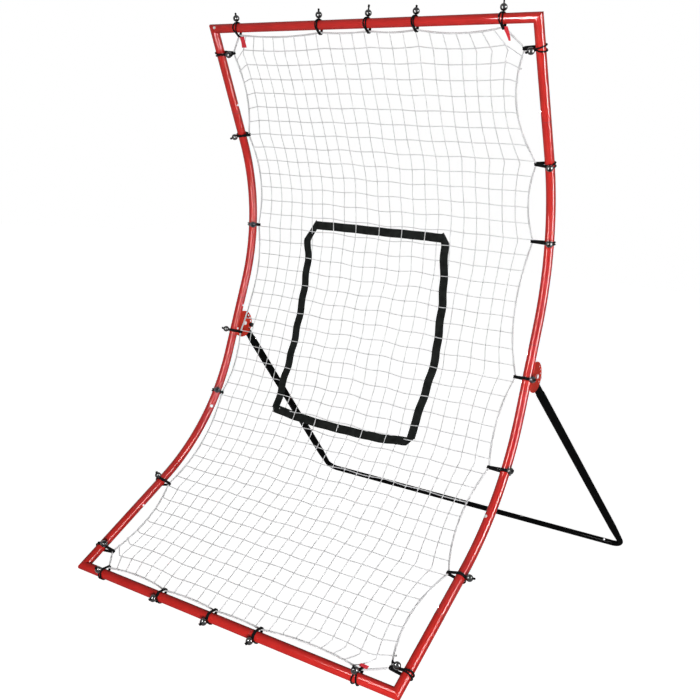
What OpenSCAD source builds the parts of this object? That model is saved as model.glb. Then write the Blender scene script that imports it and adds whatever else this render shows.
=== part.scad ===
/* [Net frame] */
// Width of the net frame between its side rail centrelines
frame_w = 1190; // [900:10:1500]
// Outer diameter of the red frame tube
tube_d = 30; // [26:0.5:34]
// Wall of the red frame tube
tube_wall = 1.2; // [1:0.1:1.6]
// Length of each straight rail end, from the corner to the bend
end_l = 410; // [380:5:500]
// Centreline radius of each rail bend
bend_r = 720; // [600:10:900]
// Angle of each rail bend
bend_a = 42.5; // [35:0.5:46]
// Length of the straight middle of each rail
mid_l = 280; // [260:5:340]
// Angle that the middle of the rail leans back from upright
lean_a = 13.8; // [8:0.2:18]

/* [Tube joints] */
// Distance along the rail from a top corner to the joint below it
upper_corner_l = 300; // [260:2:330]
// Distance along the rail from a bottom corner to the joint above it
lower_corner_l = 250; // [220:2:300]
// Length of each hinge tube, joint to joint
hinge_tube_l = 146; // [140:1:170]
// Place of the joint in the top tube, from the middle
top_joint_x = 22; // [10:1:60]
// Place of the joint in the bottom tube, from the middle
bottom_joint_x = 112; // [90:1:115]
// Length of a reduced tube end inside the next tube
spigot_l = 52; // [40:1:55]
// Radial clearance of a reduced tube end
spigot_gap = 0.1; // [0.05:0.05:0.2]
// Distance from a joint to its snap button
button_back = 28; // [20:1:32]
// Diameter of a snap button
button_d = 8; // [6:0.5:9]
// Radial clearance of a snap button in its holes
button_gap = 0.08; // [0.05:0.01:0.1]
// Height of a snap button above the tube
button_h = 2.4; // [1.5:0.1:3]
// Diameter of a plastic hole plug
plug_d = 11; // [8:0.5:12]
// Place of the hole plug along the left rail
left_plug_s = 728; // [700:2:760]
// Place of the hole plug along the right rail
right_plug_s = 598; // [560:2:640]

/* [Stand hinge] */
// Distance of the pivot behind the rail centreline
pivot_off = 32; // [30:0.5:36]
// Distance of the pivot below the middle of the hinge tube
pivot_drop = 18; // [14:1:20]
// Radius of the round edge of a hinge plate
plate_r = 50; // [49:1:55]
// Distance of the plate's round edge centre in front of the pivot
plate_off = 6; // [1:1:9]
// Distance of the plate's round edge centre below the pivot
plate_drop = 4; // [2:1:6]
// Thickness of a hinge plate
plate_t = 2; // [2:0.5:4]
// Depth that a hinge plate is notched over the tube
plate_notch = 0.5; // [0.3:0.1:0.8]
// Diameter of the pivot bolt
bolt_d = 8; // [6:0.5:9]
// Radial clearance of the pivot bolt in the leg
bolt_gap = 0.05; // [0.02:0.01:0.1]
// Radius of the row of adjustment holes
hole_row_r = 36.5; // [34:0.5:39]
// Angle between adjustment holes
hole_step_a = 22; // [20:0.5:23]
// Diameter of the stop pin
pin_d = 8; // [6:0.5:9]
// Radial clearance of the stop pin in its holes
pin_gap = 0.06; // [0.03:0.01:0.1]
// Clearance between the leg and the stop pin
stop_gap = 0.1; // [0.05:0.05:0.3]
// Diameter of the stop pin's knob
knob_d = 16; // [14:1:20]

/* [Stand] */
// Distance in side view from the pivot to the bar on the floor
leg_reach = 1183; // [1050:5:1400]
// Width of the stand between its corners
stand_w = 1442; // [1200:10:1700]
// Diameter of the hinge end of a leg
stub_d = 26; // [22:0.5:26.5]
// Wall of the stand tubes
stand_wall = 1.2; // [1:0.1:1.6]
// Diameter of the floor bar
bar_d = 22; // [20:0.5:24]
// Centreline radius of the bend between leg and bar
corner_r = 40; // [36:1:50]
// Distance from the pivot to the start of the leg tube
stub_l = 105; // [100:1:130]
// Distance from the pivot to the bend of the leg's hinge end
splay_kink = 46; // [44:1:52]
// Radius of the bend of the leg's hinge end
splay_r = 150; // [120:5:200]
// Length of the tapered end of a leg tube
taper_l = 110; // [60:5:160]
// Length of straight tube between a corner bend and the floor bar's joint
bar_stub_l = 6; // [4:1:30]
// Place of the joint in the middle of the floor bar
bar_joint_x = 13; // [-60:1:60]
// Place of the hole plug in the floor bar
bar_plug_x = 281; // [100:1:400]

/* [Net] */
// Squares across the net
net_cols = 23; // [11:1:31]
// Squares up the net
net_rows = 42; // [21:1:50]
// Thickness of a net cord
cord_d = 2.6; // [2:0.1:3.5]
// Thickness of the border rope
rope_d = 6; // [4:0.5:8]
// Distance of the border rope from the side rail centrelines
rope_side = 48; // [38:1:60]
// Distance of the border rope from the top and bottom tube centrelines
rope_end = 24; // [22:1:40]
// Radius of the border rope at its corners
rope_corner_r = 14; // [10:1:20]

/* [Strike zone] */
// Width of the webbing
strap_w = 30; // [20:1:40]
// Thickness of the webbing
strap_t = 1.4; // [1:0.1:3]
// Middle of the zone across the net
zone_x = -28; // [-100:2:100]
// Width of the zone between strap centrelines
zone_w = 570; // [400:5:700]
// Place of the bottom strap along the rail
zone_s0 = 760; // [600:2:900]
// Place of the top strap along the rail
zone_s1 = 1464; // [1350:2:1600]

/* [Ties] */
// Thickness of the elastic cord
tie_d = 5; // [4:0.5:6]
// Diameter of a tie ball
ball_d = 22; // [18:1:26]
// Diameter of the knot outside a ball
knot_d = 9; // [8:0.5:12]
// Places of the ties along the left rail
left_tie_s = [82, 390, 790, 1028, 1442, 1785, 2083];
// Turn of each ball round the left rail, from the right, with the front at -90
left_tie_a = [-45, -87, -50, -121, -50, -113, -20];
// Places of the ties along the right rail
right_tie_s = [60, 390, 755, 1050, 1483, 1730, 2083];
// Turn of each ball round the right rail, from the right, with the front at -90
right_tie_a = [-135, -16, -42, -38, -69, -69, -125];
// Places of the ties along the top tube
top_tie_x = [-490, -152, 32, 202, 488];
// Turn of each ball round the top tube, from the back, with the top at 90
top_tie_a = [110, 100, 90, 90, 95];
// Places of the ties along the bottom tube
bottom_tie_x = [-503, -252, -46, 128, 472];
// Turn of each ball round the bottom tube, from the back, with the top at 90
bottom_tie_a = [140, 172, 186, 186, 120];

/* [Hidden] */
$fn = 48;

LEFT = -1;
RIGHT = 1;
RED = [0.8, 0.16, 0.13];
SILVER = [0.8, 0.8, 0.82];
WHITE = [0.92, 0.92, 0.9];
BLACK = [0.07, 0.07, 0.07];
WEB_BLACK = [0.14, 0.15, 0.14];
NET_WHITE = [0.82, 0.82, 0.84];
TAG_RED = [0.9, 0.18, 0.2];

tube_r = tube_d / 2;
tube_in = tube_r - tube_wall;
spigot_r = tube_in - spigot_gap;
rail_x = frame_w / 2;
arc_l = bend_r * bend_a * PI / 180;

// Places where the rail changes from straight to bend and back
s_bend1 = end_l;
s_mid = s_bend1 + arc_l;
s_bend2 = s_mid + mid_l;
s_end2 = s_bend2 + arc_l;
s_top = s_end2 + end_l;
lower_a = lean_a + bend_a;
upper_a = lean_a - bend_a;

// Turn from upright at a place along the rail
function rail_a(s) =
    s < s_bend1 ? lower_a :
    s < s_mid ? lower_a - (s - s_bend1) / bend_r * 180 / PI :
    s < s_bend2 ? lean_a :
    s < s_end2 ? lean_a - (s - s_bend2) / bend_r * 180 / PI :
    upper_a;

// End of a bend that starts at angle a and turns forward by t
function bend_end(a, t) = bend_r * [cos(a - t) - cos(a), sin(a) - sin(a - t)];
function straight_end(a, l) = l * [sin(a), cos(a)];

p_bend1 = straight_end(lower_a, end_l);
p_mid = p_bend1 + bend_end(lower_a, bend_a);
p_bend2 = p_mid + straight_end(lean_a, mid_l);
p_end2 = p_bend2 + bend_end(lean_a, bend_a);

// Side view place [y, z] along the rail, from the bottom tube's centre
function rail_p(s) =
    s < s_bend1 ? straight_end(lower_a, s) :
    s < s_mid ? p_bend1 + bend_end(lower_a, (s - s_bend1) / bend_r * 180 / PI) :
    s < s_bend2 ? p_mid + straight_end(lean_a, s - s_mid) :
    s < s_end2 ? p_bend2 + bend_end(lean_a, (s - s_bend2) / bend_r * 180 / PI) :
    p_end2 + straight_end(upper_a, s - s_end2);

// Places of the joints along a rail
s_lower_joint = lower_corner_l;
s_upper_joint = s_top - upper_corner_l;
s_hinge_mid = (s_mid + s_bend2) / 2;
s_hinge_low = s_hinge_mid - hinge_tube_l / 2;
s_hinge_high = s_hinge_mid + hinge_tube_l / 2;
shoulder_l = 4;
shoulder_back = 0.5;

// A bend is this much slimmer than the straight tube or cord that laps onto its end
slim = 0.02;
lap = 0.2;
$slim = 0;
tie_r = tie_d / 2;
tie_gap = 0.05;

// Snap buttons
button_r = button_d / 2;
button_hole_r = button_r + button_gap;
button_chamfer = 0.8;
button_clear = 0.6;
flange_r = button_r + 1.5;
flange_t = 1.2;
flange_gap = 0.3;
leaf_l = 26;
leaf_t = 0.8;

// Hinge
s_pivot = s_hinge_mid - pivot_drop;
plate_in = tube_r - plate_notch;
plate_out = plate_in + plate_t;
bolt_r = bolt_d / 2;
plate_bore_gap = 0.1;
head_r = bolt_r * 1.85;
head_h = bolt_r * 1.3;
nut_h = bolt_r * 1.6;
bolt_end = 3;
stub_r = stub_d / 2;
stub_end = 6;
spacer_gap = 0.05;
spacer_r = bolt_r * 2;
thread_gap = 0.02;
pin_r = pin_d / 2;
pin_end = 5;
knob_h = 10;
knob_cap = 2;
knob_gap = 0.5;
notch_w = tie_d + 2;
notch_deep = 1.5;

// Stand, with its joints
leg_in = stub_r + spigot_gap;
leg_r = leg_in + stand_wall;
bar_r = bar_d / 2;
bar_in = bar_r - stand_wall;
stub_tail = 60;
bar_spigot_r = bar_in - spigot_gap;
bar_spigot_l = 46;
leg_button_back = 20;
bar_button_back = 24;
bar_plug_turn = -45;
left_plug_a = -35;
right_plug_a = -112;
stand_x = stand_w / 2;

// The stand's side view: the bar and the ties under the bottom tube share the floor
bar_z = bar_r - tube_r - tie_gap - tie_d;
pivot_p = rail_p(s_pivot) + pivot_off * [cos(lean_a), -sin(lean_a)];
leg_a = asin((pivot_p[1] - bar_z) / leg_reach);
bar_y = pivot_p[0] + leg_reach * cos(leg_a);

// The stand's own plane: splay of the legs, bends and joints
splay_a = atan((stand_x - rail_x) / (leg_reach - splay_kink));
splay_cut = splay_r * tan(splay_a / 2);
slope_l = (leg_reach - splay_kink) / cos(splay_a);
corner_turn = 90 + splay_a;
corner_cut = corner_r * tan(corner_turn / 2);
bend_end_x = stand_x - corner_cut;
bar_joint_out = bend_end_x - bar_stub_l;

// The stop pin touches the leg's upper side
leg_from_normal = leg_a - lean_a;
stop_a = asin((stub_r + pin_r + stop_gap) / hole_row_r) - leg_from_normal;
hole_steps = [-1, 0, 1, 2, 3];

// Net
cord_r = cord_d / 2;
rope_r = rope_d / 2;
net_x = rail_x - rope_side;
net_s0 = rope_end;
net_s1 = s_top - rope_end;
layer = cord_r + 0.05;
strap_back = layer + cord_r + 0.3 + strap_t / 2;
strap_gap = 0.3;
top_tag_x = [-452, 506];
bottom_tag_x = 508;
tag_w = 20;
tag_l = 26;
tag_t = 1.2;
tag_back = layer + cord_r + 0.1;
tag_in_rope = 3;

// Ties
ball_r = ball_d / 2;
knot_r = knot_d / 2;
ring_r = tube_r + tie_gap + tie_r;
hook_r = rope_r + tie_gap + tie_r;
ball_place = ring_r + tie_r + ball_r;
tail_r = 2;
tail_in = 0.4;
ball_bore_r = tail_r + 0.1;
knot_gap = 0.05;
knot_out = sqrt(ball_r * ball_r - ball_bore_r * ball_bore_r)
    + sqrt(knot_r * knot_r - ball_bore_r * ball_bore_r) + knot_gap;

// The model's origin is on the floor, in the middle of its footprint
front_reach = (ball_place + knot_out) * max([for (a = bottom_tie_a) -cos(a)]) + knot_r;
back_reach = bar_y + bar_r;
origin_y = (front_reach - back_reach) / 2;
origin_z = tube_r + tie_gap + tie_d;
big = 400;
tiny = 0.001;

// ---- Placing ----

// Puts what is drawn from the bottom tube's centre into the model's own frame
module placed() {
    translate([0, origin_y, origin_z]) children();
}

// Draws for the right side, and mirrors for the left
module sided(side) {
    if (side == RIGHT) {
        children();
    } else {
        mirror([1, 0, 0]) children();
    }
}

// Local frame on the profile: Z up along the rail, Y to the back, X across
module on_rail(s, x) {
    translate([x, rail_p(s)[0], rail_p(s)[1]]) rotate([-rail_a(s), 0, 0]) children();
}

// Local frame of the stand: Z down along the legs from the pivots, -Y on its upper side
module in_stand() {
    translate([0, pivot_p[0], pivot_p[1]]) rotate([-leg_a - 90, 0, 0]) children();
}

// Local frame of one splayed leg, from its kink, on the right side
module in_leg() {
    translate([rail_x, 0, splay_kink]) rotate([0, splay_a, 0]) children();
}

// ---- Tubes ----

module ring_2d(r_out, r_in) {
    difference() {
        circle(r = r_out - $slim);
        circle(r = r_in + $slim);
    }
}

module cord_2d(r) {
    circle(r = r - $slim, $fn = 16);
}

module band_2d(thick, wide) {
    square([thick - 2 * $slim, wide - 2 * $slim], center = true);
}

module pipe(r_out, r_in, l) {
    difference() {
        cylinder(r = r_out, h = l);
        translate([0, 0, -1]) cylinder(r = r_in, h = l + 2);
    }
}

// A bend that starts along Z and turns by a, to -Y, at centreline radius r
module bend(r, a, fine = 96) {
    translate([0, -r, 0]) rotate([90, 0, 90])
        rotate_extrude(angle = a, $fn = fine) translate([r, 0]) let ($slim = slim) children();
}

// Runs a cross-section (X to the back, Y across) along the profile from s0 to s1
module run(s0, s1, x, back = 0) {
    stops = [0, s_bend1, s_mid, s_bend2, s_end2, s_top];
    for (i = [0:4]) {
        a = max(s0, stops[i]);
        b = min(s1, stops[i + 1]);
        if (b - a > tiny) {
            on_rail(a, x) {
                if (i % 2 == 1) {
                    translate([0, -bend_r, 0]) rotate([90, 0, 90])
                        rotate_extrude(angle = (b - a) / bend_r * 180 / PI, $fn = 360)
                            translate([bend_r + back, 0]) let ($slim = slim) children();
                } else {
                    from = a > s0 ? lap : 0;
                    to = b < s1 ? lap : 0;
                    rotate([0, 0, 90]) translate([back, 0, -from])
                        linear_extrude(height = b - a + from + to) children();
                }
            }
        }
    }
}

// A reduced tube end that starts at the tube's mouth and points along +Z
module reduced_end(r_in, r_spigot, wall, l) {
    translate([0, 0, -shoulder_l]) pipe(r_spigot, r_spigot - wall, shoulder_l + l);
    translate([0, 0, -shoulder_l]) pipe(r_in + wall / 2, r_spigot - wall / 2, shoulder_l - shoulder_back);
}

// A radial hole for a button or plug, towards +X
module button_hole(r_tube) {
    rotate([0, 90, 0]) cylinder(r = button_hole_r, h = r_tube + 1);
}

// The button's hole in a reduced end, at turn a from +X
module spigot_hole(back, a, r_tube) {
    translate([0, 0, back]) rotate([0, 0, a]) button_hole(r_tube);
}

module rail_spigot(a) {
    difference() {
        reduced_end(tube_in, spigot_r, tube_wall, spigot_l);
        spigot_hole(button_back, a, tube_r);
    }
}

module bar_spigot() {
    difference() {
        reduced_end(bar_in, bar_spigot_r, stand_wall, bar_spigot_l);
        spigot_hole(bar_button_back, 180, bar_r);
    }
}

// A snap button towards +X, with its flange and leaf spring inside a spigot of bore r_in
module snap_button(r_tube, r_in) {
    seat = sqrt(r_in * r_in - flange_r * flange_r) - flange_gap;
    top = r_tube + button_h;
    rotate([0, 90, 0]) {
        translate([0, 0, seat - flange_t]) cylinder(r = flange_r, h = flange_t);
        translate([0, 0, seat - flange_t]) cylinder(r = button_r, h = top - button_chamfer - seat + flange_t);
        translate([0, 0, top - button_chamfer])
            cylinder(r1 = button_r, r2 = button_r - button_chamfer, h = button_chamfer);
        translate([-leaf_l / 2, -button_r, seat - flange_t - leaf_t]) cube([leaf_l, button_d, leaf_t]);
    }
}

// A plastic plug towards +X in a tube
module hole_plug(r_tube, wall) {
    rotate([0, 90, 0]) {
        translate([0, 0, r_tube - wall - 2]) cylinder(r = button_r, h = wall + 2);
        translate([0, 0, r_tube]) cylinder(r1 = plug_d / 2, r2 = plug_d / 2 - 1, h = 1.4);
    }
}

// ---- Frame ----

// Half space above the mitre of a corner on the right side
module above_mitre() {
    rotate([0, -45, 0]) translate([-big / 2, -big / 2, 0]) cube([big, big, big]);
}

module below_mitre() {
    rotate([0, 135, 0]) translate([-big / 2, -big / 2, 0]) cube([big, big, big]);
}

// The upright arm of a right top corner, below its mitre, and the cross arm beside it
module mitred_corner(l_up, l_across) {
    difference() {
        translate([0, 0, -l_up]) pipe(tube_r, tube_in, l_up + big / 2);
        above_mitre();
    }
    difference() {
        translate([-l_across, 0, 0]) rotate([0, 90, 0]) pipe(tube_r, tube_in, l_across + big / 2);
        below_mitre();
    }
}

// Place of a cross tube's joint in a corner's own frame
function cross_joint(side, joint) = side * joint - rail_x;

// Colour, frame and mirroring of a corner at s
module corner_frame(side, s) {
    color(RED) placed() on_rail(s, 0) sided(side) translate([rail_x, 0, 0]) children();
}

// A corner with its button holes; the left one takes the right one's reduced end
module corner_body(side, l_up, joint, hole_up) {
    across = cross_joint(side, joint);
    difference() {
        mitred_corner(l_up, -across);
        if (hole_up) translate([0, 0, button_back - l_up]) rotate([0, 0, 180]) button_hole(tube_r);
        if (side == LEFT) translate([across + button_back, 0, 0]) rotate([0, 0, 90]) button_hole(tube_r);
    }
    if (side == RIGHT) translate([across, 0, 0]) rotate([0, -90, 0]) rail_spigot(90);
}

module upper_corner(side) {
    corner_frame(side, s_top) corner_body(side, upper_corner_l, top_joint_x, true);
}

module lower_corner(side) {
    corner_frame(side, 0) {
        mirror([0, 0, 1]) corner_body(side, lower_corner_l, bottom_joint_x, false);
        translate([0, 0, lower_corner_l]) rail_spigot(180);
    }
}

// A button or hole that faces the net, at s on the right rail
module facing_net(s) {
    on_rail(s, rail_x) rotate([0, 0, 180]) children();
}

module upper_curve(side) {
    color(RED) placed() sided(side) {
        run(s_hinge_high, s_upper_joint, rail_x) ring_2d(tube_r, tube_in);
        on_rail(s_upper_joint, rail_x) rail_spigot(180);
        on_rail(s_hinge_high, rail_x) mirror([0, 0, 1]) rail_spigot(180);
    }
}

module lower_curve(side) {
    plug_s = side == LEFT ? left_plug_s : right_plug_s;
    color(RED) placed() sided(side) {
        difference() {
            run(s_lower_joint, s_hinge_low, rail_x) ring_2d(tube_r, tube_in);
            facing_net(s_lower_joint + button_back) button_hole(tube_r);
            on_rail(plug_s, rail_x) rotate([0, 0, plug_turn(side)]) button_hole(tube_r);
        }
        on_rail(s_hinge_low, rail_x) rail_spigot(180);
    }
}

module hinge_tube(side) {
    color(RED) placed() sided(side) difference() {
        on_rail(s_hinge_low, rail_x) pipe(tube_r, tube_in, hinge_tube_l);
        facing_net(s_hinge_low + button_back) button_hole(tube_r);
        facing_net(s_hinge_high - button_back) button_hole(tube_r);
    }
}

module frame_button(side, s) {
    color(SILVER) placed() sided(side) facing_net(s) snap_button(tube_r, spigot_r - tube_wall);
}

// The button of a cross tube's joint faces the back
module cross_button(s, joint) {
    color(SILVER) placed() on_rail(s, joint - button_back)
        rotate([0, 0, 90]) rotate([90, 0, 0]) snap_button(tube_r, spigot_r - tube_wall);
}

// Turn of a plug in the mirrored frame of its rail
function plug_turn(side) = side == LEFT ? 180 - left_plug_a : right_plug_a;

module rail_plugs() {
    for (side = [LEFT, RIGHT]) {
        plug_s = side == LEFT ? left_plug_s : right_plug_s;
        color(WHITE) placed() sided(side) on_rail(plug_s, rail_x)
            rotate([0, 0, plug_turn(side)]) hole_plug(tube_r, tube_wall);
    }
}

// ---- Stand hinge ----

// Holes of the row that the stop pin fits, as [back, up] from the pivot
function row_hole(k) = hole_row_r * [cos(stop_a + k * hole_step_a), sin(stop_a + k * hole_step_a)];

// Outline of a plate, X to the back and Y up, from the rail centreline at the pivot
module plate_2d(tie_s, on_button) {
    difference() {
        intersection() {
            translate([pivot_off - plate_off, -plate_drop]) circle(r = plate_r, $fn = 96);
            translate([0, -plate_r * 2]) square([plate_r * 2, plate_r * 4]);
        }
        translate([pivot_off, 0]) circle(r = bolt_r + plate_bore_gap);
        for (k = hole_steps) {
            translate([pivot_off + row_hole(k)[0], row_hole(k)[1]]) circle(r = pin_r + pin_gap);
        }
        translate([-1, tie_s - s_pivot - notch_w / 2]) square([tube_r + tie_d + notch_deep + 1, notch_w]);
        if (on_button) translate([0, s_hinge_low + button_back - s_pivot]) circle(r = button_r + button_clear);
    }
}

// One plate, from x = plate_in outwards, with room for a button where it covers one
module plate(tie_s, on_button) {
    difference() {
        translate([plate_in, 0, 0]) rotate([90, 0, 90])
            linear_extrude(height = plate_t) plate_2d(tie_s, on_button);
        translate([0, 0, -big / 2]) cylinder(r = tube_r, h = big);
    }
}

module hinge_plates(side) {
    tie_s = side == LEFT ? left_tie_s[3] : right_tie_s[3];
    color(RED) placed() on_rail(s_pivot, side * rail_x) {
        plate(tie_s, side == LEFT);
        mirror([1, 0, 0]) plate(tie_s, side == RIGHT);
    }
}

// Frame at a pivot with Z along the bolt, towards the right
module at_pivot(side) {
    placed() on_rail(s_pivot, side * rail_x) translate([0, pivot_off, 0]) rotate([0, 90, 0]) children();
}

module pivot_bolt(side) {
    color(SILVER) at_pivot(side) {
        translate([0, 0, -plate_out - nut_h - bolt_end])
            cylinder(r = bolt_r, h = 2 * plate_out + nut_h + bolt_end);
        translate([0, 0, plate_out]) cylinder(r = head_r, h = head_h, $fn = 6);
    }
}

module pivot_nuts() {
    for (side = [LEFT, RIGHT]) {
        color(SILVER) at_pivot(side) translate([0, 0, -plate_out - nut_h]) difference() {
            cylinder(r = head_r, h = nut_h, $fn = 6);
            translate([0, 0, -1]) cylinder(r = bolt_r + thread_gap, h = nut_h + 2);
        }
    }
}

module pivot_spacers() {
    for (side = [LEFT, RIGHT]) {
        for (face = [LEFT, RIGHT]) {
            color(BLACK) at_pivot(side) sided_up(face) translate([0, 0, stub_r + spacer_gap])
                pipe(spacer_r, bolt_r + bolt_gap, plate_in - stub_r - 2 * spacer_gap);
        }
    }
}

module sided_up(face) {
    if (face == RIGHT) {
        children();
    } else {
        mirror([0, 0, 1]) children();
    }
}

// Frame of a stop pin on the right hinge: Z along the pin, towards the net
module at_stop(side) {
    placed() sided(side) on_rail(s_pivot, rail_x)
        translate([0, pivot_off + row_hole(0)[0], row_hole(0)[1]]) rotate([0, -90, 0]) children();
}

module stop_pin(side) {
    color(SILVER) at_stop(side) {
        translate([0, 0, -plate_out - pin_end])
            cylinder(r = pin_r, h = 2 * plate_out + pin_end + knob_gap + knob_h - knob_cap);
    }
}

module stop_knob(side) {
    color(BLACK) at_stop(side) translate([0, 0, plate_out + knob_gap]) difference() {
        cylinder(r = knob_d / 2, h = knob_h);
        translate([0, 0, -1]) cylinder(r = pin_r + thread_gap, h = knob_h - knob_cap + 1 + thread_gap);
    }
}

// ---- Stand ----

module stand_stub(side) {
    color(BLACK) placed() in_stand() sided(side) difference() {
        union() {
            translate([rail_x, 0, -stub_end])
                pipe(stub_r, stub_r - stand_wall, stub_end + splay_kink - splay_cut + lap);
            translate([rail_x, 0, splay_kink - splay_cut]) rotate([0, 0, 90])
                bend(splay_r, splay_a) ring_2d(stub_r, stub_r - stand_wall);
            in_leg() translate([0, 0, splay_cut - lap])
                pipe(stub_r, stub_r - stand_wall, stub_l + stub_tail - splay_kink - splay_cut + lap);
        }
        translate([rail_x, 0, 0]) rotate([0, 90, 0]) translate([0, 0, -stub_r * 2])
            cylinder(r = bolt_r + bolt_gap, h = stub_r * 4);
        in_leg() translate([0, 0, stub_l + leg_button_back - splay_kink]) rotate([0, 0, -90]) button_hole(leg_r);
    }
}

module stand_leg(side) {
    straight_l = slope_l - corner_cut - taper_l;
    color(BLACK) placed() in_stand() sided(side) {
        in_leg() {
            difference() {
                translate([0, 0, stub_l - splay_kink]) pipe(leg_r, leg_in, straight_l - stub_l + splay_kink);
                translate([0, 0, stub_l + leg_button_back - splay_kink]) rotate([0, 0, -90]) button_hole(leg_r);
            }
            translate([0, 0, straight_l]) difference() {
                cylinder(r1 = leg_r, r2 = bar_r, h = taper_l);
                translate([0, 0, -tiny]) cylinder(r1 = leg_in, r2 = bar_in, h = taper_l + 2 * tiny);
            }
            translate([0, 0, slope_l - corner_cut]) pipe(bar_r, bar_in, lap);
            translate([0, 0, slope_l - corner_cut]) rotate([0, 0, -90])
                bend(corner_r, corner_turn) ring_2d(bar_r, bar_in);
        }
        translate([bend_end_x, 0, leg_reach]) rotate([0, -90, 0]) {
            translate([0, 0, -lap]) pipe(bar_r, bar_in, bar_stub_l + lap);
            translate([0, 0, bar_stub_l]) bar_spigot();
        }
    }
}

// A button or hole on the upper side of the floor bar, on the right half
module on_bar(x) {
    translate([x, 0, leg_reach]) rotate([0, 90, 0]) children();
}

module stand_bar(side) {
    inner = side * bar_joint_x;
    color(BLACK) placed() in_stand() sided(side) {
        difference() {
            translate([inner, 0, leg_reach]) rotate([0, 90, 0]) pipe(bar_r, bar_in, bar_joint_out - inner);
            on_bar(bar_joint_out - bar_button_back) button_hole(bar_r);
            if (side == LEFT) on_bar(inner + bar_button_back) button_hole(bar_r);
            if (side == RIGHT) on_bar(bar_plug_x) rotate([0, 0, bar_plug_turn]) button_hole(bar_r);
        }
        if (side == RIGHT) translate([inner, 0, leg_reach]) rotate([0, -90, 0]) bar_spigot();
    }
}

module leg_button(side) {
    color(SILVER) placed() in_stand() sided(side) in_leg()
        translate([0, 0, stub_l + leg_button_back - splay_kink]) rotate([0, 0, -90])
            snap_button(leg_r, stub_r - stand_wall);
}

module bar_button(side) {
    color(SILVER) placed() in_stand() sided(side) on_bar(bar_joint_out - bar_button_back)
        snap_button(bar_r, bar_spigot_r - stand_wall);
}

module bar_middle_button() {
    color(SILVER) placed() in_stand() on_bar(bar_joint_x - bar_button_back)
        snap_button(bar_r, bar_spigot_r - stand_wall);
}

module stand_plug() {
    color(WHITE) placed() in_stand() on_bar(bar_plug_x) rotate([0, 0, bar_plug_turn])
        hole_plug(bar_r, stand_wall);
}

// ---- Net ----

module net_vertical_cords() {
    color(NET_WHITE) placed() for (i = [1:net_cols - 1]) {
        run(net_s0 + rope_r, net_s1 - rope_r, net_x * (2 * i / net_cols - 1), -layer) cord_2d(cord_r);
    }
}

module net_cross_cords() {
    half = net_x - rope_r;
    color(NET_WHITE) placed() for (j = [1:net_rows - 1]) {
        on_rail(net_s0 + j * (net_s1 - net_s0) / net_rows, -half)
            translate([0, layer, 0]) rotate([0, 90, 0]) cylinder(r = cord_r, h = 2 * half, $fn = 16);
    }
}

// The border rope's bend at a right corner, from the side rope upwards
module rope_corner() {
    translate([-rope_corner_r, 0, 0]) rotate([90, 0, 0])
        rotate_extrude(angle = 90) translate([rope_corner_r, 0]) cord_2d(rope_r - slim);
}

module net_border_rope() {
    half = net_x - rope_corner_r + lap;
    color(NET_WHITE) placed() {
        for (side = [LEFT, RIGHT]) {
            sided(side) {
                run(net_s0 + rope_corner_r - lap, net_s1 - rope_corner_r + lap, net_x) cord_2d(rope_r);
                on_rail(net_s1 - rope_corner_r, net_x) rope_corner();
                on_rail(net_s0 + rope_corner_r, net_x) mirror([0, 0, 1]) rope_corner();
            }
        }
        for (s = [net_s0, net_s1]) {
            on_rail(s, -half) rotate([0, 90, 0]) cylinder(r = rope_r, h = 2 * half, $fn = 16);
        }
    }
}

// ---- Strike zone ----

module cross_strap(s) {
    color(WEB_BLACK) placed() on_rail(s, zone_x)
        translate([-(zone_w + strap_w) / 2, -strap_back - strap_t / 2, -strap_w / 2])
            cube([zone_w + strap_w, strap_t, strap_w]);
}

module side_strap(side) {
    color(WEB_BLACK) placed() run(zone_s0 + strap_w / 2 + strap_gap, zone_s1 - strap_w / 2 - strap_gap,
        zone_x + side * zone_w / 2, -strap_back) band_2d(strap_t, strap_w);
}

// ---- Ties ----

function wrap(a) = a - 360 * round(a / 360);

// Angle between a loop's straight strands and its line, for a rope at this distance
function strand_a(reach) = acos((ring_r - hook_r) / reach);

// How far out a ball sits when it is on a strand and not on the tube
function strand_out(turn, reach) =
    abs(wrap(turn)) < strand_a(reach) ? 1 / cos(strand_a(reach) - abs(wrap(turn))) : 1;

// A cord round a tube along Z and a rope along Z at [reach, 0], with a tail at angle turn
module tie_cord(reach, turn) {
    b = strand_a(reach);
    out = strand_out(turn, reach);
    strand_l = sqrt(reach * reach - pow(ring_r - hook_r, 2));
    rotate([0, 0, b]) rotate_extrude(angle = 360 - 2 * b)
        translate([ring_r, 0]) rotate(180) cord_2d(tie_r - slim);
    translate([reach, 0, 0]) rotate([0, 0, -b])
        rotate_extrude(angle = 2 * b) translate([hook_r, 0]) rotate(180) cord_2d(tie_r - slim);
    for (up = [1, -1]) {
        translate([ring_r * cos(b), up * ring_r * sin(b), 0]) rotate([0, 90, up * (b - 90)])
            translate([0, 0, -lap]) cylinder(r = tie_r, h = strand_l + 2 * lap, $fn = 16);
    }
    rotate([0, 0, turn]) translate([ring_r * out + tail_in, 0, 0]) rotate([0, 90, 0]) rotate([0, 0, 45]) {
        tail_l = (ball_place - ring_r) * out + knot_out - tail_in;
        cylinder(r = tail_r, h = tail_l, $fn = 16);
        translate([0, 0, tail_l]) sphere(r = knot_r, $fn = 24);
    }
}

module tie_ball(reach, turn) {
    rotate([0, 0, turn]) translate([ball_place * strand_out(turn, reach), 0, 0]) rotate([0, 90, 0]) difference() {
        sphere(r = ball_r);
        translate([0, 0, -ball_r * 2]) cylinder(r = ball_bore_r, h = ball_r * 4);
    }
}

// Frames of the ties, with Z along the tube and X towards the net
module at_side_tie(side, s) {
    on_rail(s, side * rail_x) rotate([0, 0, side == LEFT ? 0 : 180]) children();
}

module at_top_tie(x) {
    on_rail(s_top, x) rotate([0, 90, 0]) children();
}

module at_bottom_tie(x) {
    on_rail(0, x) rotate([0, -90, 0]) children();
}

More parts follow.
